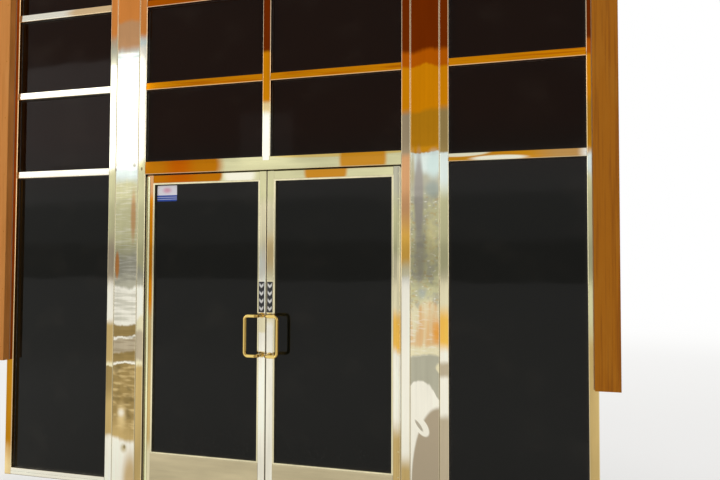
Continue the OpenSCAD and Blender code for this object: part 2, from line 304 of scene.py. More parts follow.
@dataclass(frozen=True)
class BarMark(Mark):
    """A stretch of painted reflection in another colour on a level member, which shows on its inner side too.
    """

    deep: float = 0.2


@dataclass(frozen=True)
class Dent:
    """A shallow dent in a pilaster's face, deepest in its middle."""

    x: float
    z: float
    wide: float
    high: float
    depth: float
    turn: float = 0.0

    def mask(self, g: Graph) -> Socket:
        """Its bowl, from 0 at the rim to 1."""
        return g.spot((self.x, FRAME_FACE, self.z), (self.wide, SKIN, self.high), self.turn, 0.0)


@dataclass(frozen=True)
class Zone:
    """A stretch of a member that starts at a height, with the tone it has there: painted reflection, and in
    part browned lacquer.
    """

    low: float
    tone: Tone
    blend: float = 0.03


def ladder(*rows: Tuple[Union[float, Tone], ...]) -> Tuple[Zone, ...]:
    """Zones from the foot up, by their lower end, tone and, where it isn't usual, blend."""
    return tuple(Zone(*row) for row in rows)


@dataclass(frozen=True)
class Bands:
    """Level bands of painted reflection in another tone over a stretch of a member."""

    low: float
    high: float
    tone: Tone
    share: float = 0.9
    size: float = 0.035
    cover: float = 0.50
    shift: float = 0.0
    width: float = 0.30
    edge: float = 0.03
    fade: float = 0.02

    def mask(self, g: Graph, level: Socket) -> Socket:
        """Where they show.

        Args:
            g: The material's graph.
            level: The wandering height.

        Returns:
            A number from 0 to 1.
        """
        waves = g.noise((self.width, 0.30, self.size), 1.5, (self.shift, 2.0 * self.shift, self.shift))
        inside = g.window(level, self.low, self.high, self.fade)
        return g.times(inside, g.rise(waves, 1.0 - self.cover - self.edge, 1.0 - self.cover + self.edge))


@dataclass(frozen=True)
class BrassFinish(Finish):
    """Polished brass sheet or section with browned lacquer and painted reflections in its colour, a painted
    reflection on its rounded edges, ripples, and dirt and painted shade in its joints.

    The sweep bends the borders of the lowest zones up, more so with the distance from its middle.
    """

    zones: Tuple[Zone, ...]
    bands: Tuple[Bands, ...] = ()
    marks: Tuple[Mark, ...] = ()
    dents: Tuple[Dent, ...] = ()
    # Painted reflection on the rounded edges, a pale highlight by default.
    edge_reflection: Colour = (0.95, 0.84, 0.56)
    run: Run = Run.UPRIGHT
    wander: float = 0.05
    mottle: float = 0.35
    streaks: float = 0.08
    edge_share: float = 0.5
    sweep: float = 0.0
    sweep_x: float = 0.0
    sweep_top: Pair = (0.98, 0.90)
    smooth: float = 0.035
    dull: float = 0.10
    ripple: float = 0.00010
    ripple_size: float = 0.14
    buckle: float = 0.0
    scratch: float = 0.000002
    # Dark colour laid into joints: dirt and painted shade.
    dirt: Colour = (0.06, 0.032, 0.012)
    dirt_reach: float = 0.014
    dirt_share: float = 0.8
    dirt_rough: float = 0.25
    edge_mask_rough: float = 0.08

    def _long(self, across: float, along: float) -> Point:
        """Cloud size that is stretched along the run of the metal."""
        return tuple(along if axis == self.run.value[0] else across for axis in range(3))

    def _edge_mask(self, g: Graph) -> Socket:
        """Where the long edges round off, 1 on their rounding and 0 on the faces.

        Args:
            g: The material's graph.

        Returns:
            A number from 0 to 1.
        """
        normal = g.add("ShaderNodeTexCoord", {}).outputs["Normal"]
        lean = g.calc("ABSOLUTE", g.parts(normal)[self.run.value[1]])
        return g.times(g.rise(lean, 0.10, 0.35), g.rise(lean, 0.995, 0.95))

    def _reflections_and_lacquer(self, g: Graph) -> Socket:
        """Colour of the metal: browned lacquer with painted reflections, as zones with wandering borders,
        bands, marks and streaks.

        Args:
            g: The material's graph.

        Returns:
            The colour.
        """
        x, _, height = g.parts(g.place)
        cloud = g.noise((0.16, 0.16, 0.22), 2.0, (0.6, 2.2, 5.1))
        drift = g.noise(self._long(0.10, 0.55), 3.0, (1.9, 4.4, 8.8))
        streak = g.noise(self._long(0.018, 0.8), 3.0, (7.3, 1.1, 4.2))
        slow, quick = 2.0 * self.wander, 0.3 * self.wander
        wander = g.calc("ADD", g.span(cloud, -slow, slow), g.span(streak, -quick, quick))
        level = g.calc("ADD", height, wander)
        if self.sweep:
            aside = g.calc("POWER", g.calc("SUBTRACT", x, self.sweep_x), 2.0)
            low_down = g.times(g.rise(height, *self.sweep_top), self.sweep)
            level = g.calc("MULTIPLY_ADD", aside, low_down, level)
        # Zones, bands and marks paint reflections into the colour.
        colour: Value = self.zones[0].tone.value
        for zone in self.zones[1:]:
            above = g.rise(level, zone.low - zone.blend, zone.low + zone.blend)
            colour = g.tint(above, colour, zone.tone.value)
        for band in self.bands:
            colour = g.tint(band.mask(g, level), colour, band.tone.value, band.share)
        cloudy = g.span(drift, 1.0 - self.mottle, 1.0 + self.mottle)
        colour = g.scale(colour, g.calc("ADD", cloudy, g.span(streak, self.streaks, -self.streaks)))
        for mark in self.marks:
            colour = g.tint(mark.mask(g), colour, mark.colour, mark.strength)
        return colour

    def paint(self, g: Graph) -> None:
        """Lacquer and painted reflections, painted reflections on rounded edges, dirt and painted shade in
        joints, ripples, scratches and dents.

        Args:
            g: The material's graph.
        """
        edge_mask, dirt = self._edge_mask(g), g.occlusion(self.dirt_reach)
        # Rounded edges take a painted reflection over the colour.
        colour = g.tint(edge_mask, self._reflections_and_lacquer(g), self.edge_reflection, self.edge_share)
        # Joints darken by ambient occlusion: dirt and painted shade.
        colour = g.tint(dirt, colour, self.dirt, self.dirt_share)
        wiped = g.noise(self._long(0.05, 0.4), 4.0, (2.2, 8.1, 0.7))
        rough = g.calc("ADD", g.span(wiped, self.smooth, self.dull), g.times(dirt, self.dirt_rough))
        rough = g.calc("ADD", rough, g.times(edge_mask, self.edge_mask_rough))
        slow = g.noise(self._long(self.ripple_size, self.ripple_size * 3.5), 2.0, (3.1, 0.4, 6.6))
        lines = g.noise(self._long(0.003, 0.3), 2.0, (0.3, 5.2, 9.4))
        height = g.calc("ADD", g.span(slow, 0.0, 2.0 * self.ripple), g.span(lines, 0.0, self.scratch))
        if self.buckle:
            waves = g.noise((0.20, 0.20, 0.07), 1.0, (5.5, 2.7, 1.3))
            height = g.calc("ADD", height, g.span(waves, 0.0, 2.0 * self.buckle))
        for dent in self.dents:
            height = g.calc("MULTIPLY_ADD", dent.mask(g), -dent.depth, height)
        g.close(Base_Color=colour, Metallic=1.0, Roughness=rough, Normal=g.bump(height))


@dataclass(frozen=True)
class SheetFinish(BrassFinish):
    """Thin folded brass sheet, which buckles more than the sections do and is less mottled."""

    wander: float = 0.03
    mottle: float = 0.15
    ripple: float = 0.0004
    buckle: float = 0.0002


@dataclass(frozen=True)
class GlassFinish(Finish):
    """Dark tinted float glass, with a warmer painted reflection aloft, wipe marks, dust along its edges and
    splashes low down.
    """

    name: str = "dark_glass"
    body: Colour = (0.005, 0.005, 0.003)
    aloft: Colour = (0.011, 0.003, 0.0003)
    aloft_from: Pair = (1.9, 2.5)
    dust: Colour = (0.26, 0.21, 0.15)
    film: float = 0.018
    rim: float = 0.10
    rim_reach: float = 0.03
    splash: float = 0.10
    splash_top: Pair = (0.55, 0.05)
    solid: float = 0.94
    gloss: float = 0.22
    wave: float = 0.00025

    def paint(self, g: Graph) -> None:
        """Tint with a painted reflection aloft, dust and a slow wave.

        Args:
            g: The material's graph.
        """
        height = g.height()
        wipe = g.noise((0.30, 0.3, 0.22), 5.0, (1.7, 0.0, 3.3))
        fleck = g.noise((0.008, 0.008, 0.012), 2.0, (4.4, 0.0, 0.2))
        film = g.times(g.rise(wipe, 0.5, 0.75), self.film)
        splash = g.times(g.rise(height, *self.splash_top), g.rise(fleck, 0.55, 0.8))
        edge = g.times(g.occlusion(self.rim_reach), self.rim)
        dust = g.calc("ADD", g.calc("ADD", film, edge), g.times(splash, self.splash))
        # The warmer tint aloft is a painted reflection.
        colour = g.tint(dust, g.tint(g.rise(height, *self.aloft_from), self.body, self.aloft), self.dust)
        wave = g.span(g.noise((0.35, 0.35, 0.12), 1.0, (9.0, 0.0, 2.0)), 0.0, self.wave)
        rough = g.calc("ADD", g.span(wipe, 0.02, 0.06), dust)
        g.close(
            Base_Color=colour, Roughness=rough, Specular_IOR_Level=self.gloss,
            Alpha=g.calc("ADD", dust, self.solid), Normal=g.bump(wave),
        )


@dataclass(frozen=True)
class RubberFinish(Finish):
    """Black glazing rubber, greyed where dust settles."""

    name: str = "black_rubber"
    black: Colour = (0.018, 0.017, 0.016)
    grey: Colour = (0.075, 0.068, 0.058)
    grain: float = 0.0001

    def paint(self, g: Graph) -> None:
        """Bloom and a fine grain.

        Args:
            g: The material's graph.
        """
        bloom = g.noise((0.03, 0.03, 0.03), 4.0)
        grain = g.noise((0.0015, 0.0015, 0.0015), 2.0)
        g.close(
            Base_Color=g.tint(g.rise(bloom, 0.4, 0.75), self.black, self.grey),
            Roughness=g.span(bloom, 0.55, 0.85), Normal=g.bump(g.span(grain, 0.0, self.grain)),
        )


@dataclass(frozen=True)
class TimberFinish(Finish):
    """Orange-brown stained board with upright grain, bleached in places, with dirt and painted shade in its
    corners.
    """

    name: str = "stained_board"
    stain: Colour = (0.470, 0.155, 0.003)
    grain: Colour = (0.350, 0.105, 0.002)
    bleached: Colour = (0.540, 0.220, 0.020)
    bleach: float = 0.45
    dirt: Colour = (0.07, 0.03, 0.01)
    dirt_reach: float = 0.012
    dirt_share: float = 0.6
    coarse_depth: float = 0.0006
    fine_depth: float = 0.0003

    def paint(self, g: Graph) -> None:
        """Grain, bleached patches, and dirt with painted shade.

        Args:
            g: The material's graph.
        """
        coarse = g.noise((0.011, 0.011, 0.55), 5.0)
        fine = g.noise((0.0025, 0.0025, 0.12), 3.0, (3.0, 1.0, 2.0))
        cloud = g.noise((0.12, 0.12, 0.6), 4.0, (8.0, 2.0, 1.0))
        colour = g.tint(g.rise(coarse, 0.45, 0.70), self.stain, self.grain)
        colour = g.tint(g.rise(cloud, 0.48, 0.75), colour, self.bleached, self.bleach)
        # Darkening into corners by ambient occlusion: dirt and painted shade.
        colour = g.tint(g.occlusion(self.dirt_reach), colour, self.dirt, self.dirt_share)
        height = g.calc("ADD", g.span(coarse, 0.0, self.coarse_depth), g.span(fine, 0.0, self.fine_depth))
        rough = g.span(cloud, 0.5, 0.75)
        g.close(Base_Color=colour, Roughness=rough, Specular_IOR_Level=0.2, Normal=g.bump(height))


@dataclass(frozen=True)
class EnamelFinish(Finish):
    """Printed enamel or paint with faint scuffs."""

    colour: Colour
    scuffed: Colour
    rough: float = 0.35
    scuff: float = 0.6
    scuff_depth: float = 0.00004

    def paint(self, g: Graph) -> None:
        """Colour and scuffs.

        Args:
            g: The material's graph.
        """
        scuff = g.noise((0.006, 0.006, 0.03), 5.0)
        g.close(
            Base_Color=g.tint(g.rise(scuff, 0.5, 0.8), self.colour, self.scuffed, self.scuff),
            Roughness=g.span(scuff, self.rough - 0.08, self.rough + 0.18),
            Normal=g.bump(g.span(scuff, 0.0, self.scuff_depth)),
        )


@dataclass(frozen=True)
class LabelFinish(Finish):
    """Faded two-tone vinyl: pale with a red blot above, blue with two pale lines below."""

    split: float
    foot: float
    middle: Point
    pale: Colour = (0.84, 0.81, 0.88)
    blush: Colour = (0.74, 0.22, 0.36)
    blue: Colour = (0.008, 0.060, 0.38)
    dust: Colour = (0.60, 0.58, 0.55)
    blot: Point = (0.052, 0.1, 0.030)
    line: Pair = (0.0024, 0.0014)
    strength: float = 0.7

    def paint(self, g: Graph) -> None:
        """Both fields, the blot, the lines and dust.

        Args:
            g: The material's graph.
        """
        height = g.height()
        fade = g.noise((0.02, 0.02, 0.03), 4.0)
        colour = g.tint(g.spot(self.middle, self.blot, 0.0, 0.1), self.pale, self.blush, self.strength)
        colour = g.tint(g.rise(height, self.split + 0.001, self.split - 0.001), colour, self.blue)
        band = (self.split - self.foot) / 3.0
        for step in (1.0, 2.0):
            away = g.calc("ABSOLUTE", g.calc("SUBTRACT", height, self.foot + step * band))
            colour = g.tint(g.rise(away, *self.line), colour, self.pale, self.strength)
        colour = g.tint(fade, colour, self.dust, 0.08)
        g.close(
            Base_Color=colour, Roughness=g.span(fade, 0.40, 0.60), Specular_IOR_Level=0.12,
            Normal=g.bump(g.span(fade, 0.0, 0.0001)),
        )


@dataclass(frozen=True)
class FloorFinish(Finish):
    """Plain pale studio floor: a painted shadow in off-white under the screen, white in the distance, to the
    eye and in mirrors.

    Its rings lie round the middle of the threshold and are wider along X, by the squash.
    """

    name: str = "studio_floor"
    pale: Colour = (0.62, 0.61, 0.59)
    white: Colour = (0.98, 0.975, 0.96)
    # Colour of the painted shadow round the screen.
    pool: Colour = (0.93, 0.925, 0.91)
    squash: float = 0.55
    mottle: float = 0.05
    pool_ring: Pair = (0.8, 2.6)
    white_ring: Pair = (4.0, 20.0)
    horizon_ring: Pair = (2.5, 14.0)
    shown: float = 0.8
    lift: float = 0.62

    def paint(self, g: Graph) -> None:
        """A matt floor that glows a little where it is seen, and wholly so towards the horizon.

        Args:
            g: The material's graph.
        """
        mottle = g.span(g.noise((0.9, 0.9, 0.9)), -self.mottle, self.mottle)
        x, y, _ = g.parts(g.place)
        far = g.length(g.add("ShaderNodeCombineXYZ", {0: g.times(x, self.squash), 1: y}).outputs[0])
        # The off-white ring round the threshold is a painted shadow, seen also in the brass.
        tone = g.tint(g.rise(g.calc("ADD", far, mottle), *self.pool_ring), self.pool, self.white)
        tone = g.tint(g.rise(far, *self.white_ring), tone, WHITE)
        ray = g.add("ShaderNodeLightPath", {}).outputs
        seen = g.calc("MAXIMUM", ray["Is Camera Ray"], ray["Is Glossy Ray"])
        seen = g.calc("MAXIMUM", seen, ray["Is Transmission Ray"])
        matt = g.add("ShaderNodeBsdfDiffuse", {0: g.tint(seen, self.pale, tone, self.shown)})
        glow = g.add("ShaderNodeEmission", {0: tone, 1: 1.0})
        horizon = g.times(ray["Is Camera Ray"], g.rise(far, *self.horizon_ring))
        lift = g.calc("MULTIPLY_ADD", horizon, 1.0 - self.lift, g.times(seen, self.lift))
        mixed = g.add("ShaderNodeMixShader", {0: lift, 1: matt.outputs[0], 2: glow.outputs[0]})
        g.add("ShaderNodeOutputMaterial", {0: mixed.outputs[0]})


@dataclass(frozen=True)
class SoftBox:
    """A brighter or darker patch of what metal and glass mirror, by its slopes sideways and upwards."""

    left: float
    right: float
    low: float
    high: float
    glow: float
    soft: float = 0.004


@dataclass(frozen=True)
class Lamp:
    """A soft lamp that isn't mirrored; a glow of 1 is white."""

    name: str
    place: Point
    aim: Point
    size: Pair
    glow: float


def make(name: str, shape: Shape, finish: Material) -> bpy.types.Object:
    """Turns a bmesh into an object.

    Args:
        name: Name of the object.
        shape: Its mesh, in metres in the shared frame; it is freed.
        finish: Its material.

    Returns:
        The object.
    """
    mesh = bpy.data.meshes.new(name)
    shape.to_mesh(mesh)
    shape.free()
    mesh.materials.append(finish)
    made = bpy.data.objects.new(name, mesh)
    bpy.context.scene.collection.objects.link(made)
    return made


def piece(name: str, shape: Shape, body: str, finish: Material) -> None:
    """Makes a named piece that rides on a body.

    Args:
        name: Name of the piece.
        shape: Its mesh, in metres in the shared frame; it is freed.
        body: The body it rides on.
        finish: Its material.
    """
    bmesh.ops.recalc_face_normals(shape, faces=shape.faces)
    made = make(name, shape, finish)
    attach(made, body)
    LOG.info("%s: %d faces on %s", name, len(made.data.polygons), body)


def block(bm: Shape, low: Point, high: Point) -> None:
    """Adds a box between two corners.

    Args:
        bm: The mesh.
        low: Its lowest corner.
        high: Its highest corner.
    """
    size = Vector(high) - Vector(low)
    middle = (Vector(high) + Vector(low)) / 2.0
    bmesh.ops.create_cube(bm, size=1.0, matrix=Matrix.Translation(middle) @ Matrix.Diagonal((*size, 1.0)))


def whole(bm: Shape) -> List[Union[Vert, Edge, bmesh.types.BMFace]]:
    """Every corner, edge and face of a mesh."""
    return bm.verts[:] + bm.edges[:] + bm.faces[:]


def cut(bm: Shape, point: Point, normal: Point, **clear: bool) -> None:
    """Cuts a mesh along the plane through a point, and takes a side away where one is named."""
    bmesh.ops.bisect_plane(bm, geom=whole(bm), plane_co=point, plane_no=normal, **clear)


def join(bm: Shape, part: Shape) -> None:
    """Adds one mesh to another.

    Args:
        bm: The mesh that grows.
        part: What is added; it is freed.
    """
    scratch = bpy.data.meshes.new("part")
    part.to_mesh(scratch)
    part.free()
    bm.from_mesh(scratch)
    bpy.data.meshes.remove(scratch)


def deep_edges(bm: Shape, thick: float) -> List[Edge]:
    """The edges of a plate that run through its thickness."""
    return [e for e in bm.edges if abs(e.verts[0].co.y - e.verts[1].co.y) > thick / 2.0]


def round_edges(bm: Shape, edges: List[Edge], radius: float, steps: int) -> None:
    """Rounds some edges by a radius, with a number of faces over each rounding."""
    bmesh.ops.bevel(bm, geom=edges, offset=radius, segments=steps, affect="EDGES", profile=0.5, material=-1)


def facing(point: Point, normal: Point, turn: float) -> Matrix:
    """The transform from the XY plane to a point of a face, turned about the way the face looks."""
    look = Vector(normal).to_track_quat("Z", "Y").to_matrix().to_4x4()
    return Matrix.Translation(point) @ look @ Matrix.Rotation(turn, 4, "Z")


@dataclass
class ScrewHead:
    """A slotted countersunk screw head, a little proud of its face."""

    radius: float = 0.0036
    taper: float = 0.8
    proud: float = 0.0004
    sunk: float = 0.0004
    slot: float = 0.0009
    slot_depth: float = 0.0005

    def add(self, bm: Shape, place: Matrix) -> None:
        """Adds one head.

        Args:
            bm: The mesh it joins.
            place: Moves the head from the XY plane, facing +Z, to its seat.
        """
        head = bmesh.new()
        depth = self.proud + self.sunk
        seat = Matrix.Translation((0.0, 0.0, self.proud - depth / 2.0))
        bmesh.ops.create_cone(
            head, cap_ends=True, segments=20, radius1=self.radius, radius2=self.taper * self.radius,
            depth=depth, matrix=seat,
        )
        half = self.slot / 2.0
        for side in (-half, half):
            cut(head, (side, 0.0, 0.0), (1.0, 0.0, 0.0))
        strip = [f for f in head.faces if f.normal.z > 0.99 and abs(f.calc_center_median().x) < half]
        walls = bmesh.ops.extrude_face_region(head, geom=strip)["geom"]
        lowered = [v for v in walls if isinstance(v, Vert)]
        bmesh.ops.translate(head, verts=lowered, vec=(0.0, 0.0, -self.slot_depth))
        bmesh.ops.delete(head, geom=strip, context="FACES_ONLY")
        bmesh.ops.transform(head, matrix=place, verts=head.verts)
        join(bm, head)


@dataclass
class PushPlate:
    """Small dark plate with stacked pale chevrons above each outer pull."""

    side: Side
    middle_x: float
    low_z: float = 1.2225
    width: float = 0.040
    height: float = 0.200
    thick: float = 0.0016
    corner: float = 0.003
    rim: float = 0.0005
    chevrons: int = 4
    chevron_width: float = 0.029
    chevron_rise: float = 0.016
    arm: float = 0.013
    print_thick: float = 0.0002

    def build_plate(self) -> Shape:
        """The plate, with round corners and a softened rim.

        Returns:
            Its mesh.
        """
        bm = bmesh.new()
        low = (self.middle_x - self.width / 2.0, LEAF_FACE - self.thick, self.low_z)
        block(bm, low, (self.middle_x + self.width / 2.0, LEAF_FACE, self.low_z + self.height))
        round_edges(bm, deep_edges(bm, self.thick), self.corner, 5)
        front = [e for e in bm.edges if all(abs(v.co.y - low[1]) < 1e-6 for v in e.verts)]
        round_edges(bm, front, self.rim, 2)
        return bm

    def build_marks(self) -> Shape:
        """The printed chevrons, pointing down.

        Returns:
            Their mesh.
        """
        bm = bmesh.new()
        pitch, half = self.height / self.chevrons, self.arm / 2.0
        lean = math.atan2(self.chevron_rise, self.chevron_width / 2.0)
        for row in range(self.chevrons):
            one = bmesh.new()
            foot = self.low_z + (row + 0.5) * pitch - self.chevron_rise / 2.0
            block(one, (-self.arm, -self.print_thick, -half), (2.0 * self.width, 0.0, half))
            bmesh.ops.transform(one, matrix=Matrix.Rotation(-lean, 4, "Y"), verts=one.verts)
            for x, outer in ((0.0, False), (self.chevron_width / 2.0, True)):
                cut(one, (x, 0.0, 0.0), (1.0, 0.0, 0.0), clear_outer=outer, clear_inner=not outer)
            bmesh.ops.mirror(one, geom=whole(one), axis="X", merge_dist=1e-6)
            bmesh.ops.holes_fill(one, edges=[e for e in one.edges if e.is_boundary], sides=0)
            bmesh.ops.translate(one, verts=one.verts, vec=(self.middle_x, LEAF_FACE - self.thick, foot))
            join(bm, one)
        return bm

    def dress(self, enamel: Material, paint: Material) -> None:
        """Builds the plate in enamel and the chevrons in paint, on their door."""
        piece(f"{self.side.label}_push_plate", self.build_plate(), self.side.leaf, enamel)
        piece(f"{self.side.label}_push_marks", self.build_marks(), self.side.leaf, paint)


@dataclass
class GlassLabel:
    """Blank two-tone label stuck on the left door's glass."""

    left: float = -0.838
    right: float = -0.684
    low: float = 1.973
    high: float = 2.082
    glass_y: float = -0.01875
    thick: float = 0.0003
    corner: float = 0.004
    blue: float = 0.38
    cuts: int = 8
    curl: float = 0.0012
    curl_from: float = 1.55
    curl_span: float = 0.2

    def build(self) -> Shape:
        """The label, with round corners and its lower corners lifting.

        Returns:
            Its mesh.
        """
        bm = bmesh.new()
        block(bm, (self.left, self.glass_y - self.thick, self.low), (self.right, self.glass_y, self.high))
        round_edges(bm, deep_edges(bm, self.thick), self.corner, 4)
        for step in range(1, self.cuts):
            share = step / self.cuts
            cut(bm, (self.left + share * (self.right - self.left), 0.0, 0.0), (1.0, 0.0, 0.0))
            cut(bm, (0.0, 0.0, self.low + share * (self.high - self.low)), (0.0, 0.0, 1.0))
        middle = (self.left + self.right) / 2.0
        for vert in bm.verts:
            out = abs(vert.co.x - middle) / (self.right - middle)
            down = (self.high - vert.co.z) / (self.high - self.low)
            vert.co.y -= self.curl * max(0.0, out + down - self.curl_from) ** 2 / self.curl_span
        return bm

    def dress(self) -> None:
        """Builds the label on the left door."""
        split = self.low + self.blue * (self.high - self.low)
        middle = ((self.left + self.right) / 2.0, self.glass_y, (split + self.high) / 2.0)
        finish = LabelFinish("faded_vinyl", split, self.low, middle).build()
        piece("glass_label", self.build(), Side.LEFT.leaf, finish)


@dataclass
class HingeScrews:
    """Two columns of screw heads that hold a full-height hinge to its leaf and its post."""

    side: Side
    leaf_x: float = 0.8935
    leaf_y: float = -0.0405
    post_x: float = 0.912
    post_y: float = -0.020
    post_proud: float = 0.0002
    low: float = 0.075
    high: float = 2.105
    count: int = 14
    first_turn: float = 0.3
    next_turn: float = 2.1

    def build(self, on_leaf: bool) -> Shape:
        """One column of heads, their slots left at odd angles.

        Args:
            on_leaf: True for the turning plate, False for the fixed one.

        Returns:
            Its mesh.
        """
        bm = bmesh.new()
        sign = float(self.side.value)
        head, x, y, normal = ScrewHead(proud=self.post_proud), self.post_x, self.post_y, (-sign, 0.0, 0.0)
        if on_leaf:
            head, x, y, normal = ScrewHead(), self.leaf_x, self.leaf_y, (0.0, -1.0, 0.0)
        for step in range(self.count):
            height = self.low + step * (self.high - self.low) / (self.count - 1)
            head.add(bm, facing((sign * x, y, height), normal, self.first_turn + self.next_turn * step))
        return bm

    def dress(self, brass: Material) -> None:
        """Builds both columns in brass, one on the door and one on the frame."""
        piece(f"{self.side.label}_leaf_hinge_screws", self.build(True), self.side.leaf, brass)
        piece(f"{self.side.label}_post_hinge_screws", self.build(False), "frame", brass)


@dataclass
class ThresholdScrews:
    """Screws through the lands of the fluted threshold, one row a little aside of the other."""

    top: float = 0.013
    rows: Pair = (-0.0195, 0.0195)
    reach: float = 0.81
    aside: float = 0.02
    count: int = 5
    proud: float = 0.0002
    next_turn: float = 0.9

    def dress(self, brass: Material) -> None:
        """Builds the screws.

        Args:
            brass: Their finish.
        """
        bm = bmesh.new()
        head = ScrewHead(proud=self.proud)
        for row, y in enumerate(self.rows):
            for step in range(self.count):
                x = -self.reach + 2.0 * self.reach * step / (self.count - 1) + self.aside * row
                head.add(bm, facing((x, y, self.top), (0.0, 0.0, 1.0), self.next_turn * step + row))
        piece("threshold_screws", bm, "frame", brass)


@dataclass
class CasingTrim:
    """Filled nail heads and the sealant bead of one timber casing."""

    side: Side
    inner_x: float = 2.0425
    front_y: float = -0.117
    low: float = 0.833
    high: float = 3.972
    nail_radius: float = 0.0042
    nail_flat: float = 0.12
    nails: int = 8
    insets: Pair = (0.022, 0.118)
    stray: float = 0.004
    margin: float = 0.10
    bead: float = 0.005
    bead_steps: int = 60
    swell: float = 0.10

    def build_nails(self) -> Shape:
        """Two columns of low nail heads under the stain.

        Returns:
            Their mesh.
        """
        bm = bmesh.new()
        reach = self.high - self.low - 2.0 * self.margin
        for inset in self.insets:
            for step in range(self.nails):
                height = self.low + self.margin + step * reach / (self.nails - 1)
                x = self.side.value * (self.inner_x + inset + self.stray * math.sin(5.1 * step))
                spot = facing((x, self.front_y, height), (0.0, -1.0, 0.0), 0.0)
                ball = bmesh.ops.create_uvsphere(bm, u_segments=14, v_segments=8, radius=self.nail_radius)
                bmesh.ops.scale(bm, verts=ball["verts"], vec=(1.0, 1.0, self.nail_flat))
                bmesh.ops.transform(bm, verts=ball["verts"], matrix=spot)
        return bm

    def build_bead(self) -> Shape:
        """The tooled bead in the corner between casing and jamb.

        Returns:
            Its mesh.
        """
        bm = bmesh.new()
        corner = Vector((self.side.value * self.inner_x, FRAME_FACE, self.low))
        place = Matrix.Translation(corner)
        bmesh.ops.create_circle(bm, cap_ends=False, segments=12, radius=self.bead, matrix=place)
        loop = bm.edges[:]
        rise = (self.high - self.low) / self.bead_steps
        for step in range(self.bead_steps):
            made = bmesh.ops.extrude_edge_only(bm, edges=loop)["geom"]
            verts = [v for v in made if isinstance(v, Vert)]
            loop = [e for e in made if isinstance(e, Edge) and all(v in verts for v in e.verts)]
            bmesh.ops.translate(bm, verts=verts, vec=(0.0, 0.0, rise))
            swell = 1.0 + self.swell * math.sin(1.7 * step) * math.sin(0.6 * step + 1.0)
            axis = corner + Vector((0.0, 0.0, rise * (step + 1)))
            centre = sum((v.co for v in verts), Vector()) / len(verts)
            grow = self.bead * swell / max((v.co - centre).length for v in verts)
            bmesh.ops.scale(bm, verts=verts, vec=(grow, grow, 1.0), space=Matrix.Translation(-axis))
        bmesh.ops.holes_fill(bm, edges=[e for e in bm.edges if e.is_boundary], sides=0)
        return bm

    def dress(self, stain: Material, sealant: Material) -> None:
        """Builds the nail heads in the board's stain and the bead in sealant."""
        piece(f"{self.side.label}_casing_nails", self.build_nails(), "frame", stain)
        piece(f"{self.side.label}_casing_sealant", self.build_bead(), "frame", sealant)


def both(*nodes: str) -> Names:
    """The left and the right node of each name."""
    return tuple(f"{side.label}_{node}" for node in nodes for side in Side)


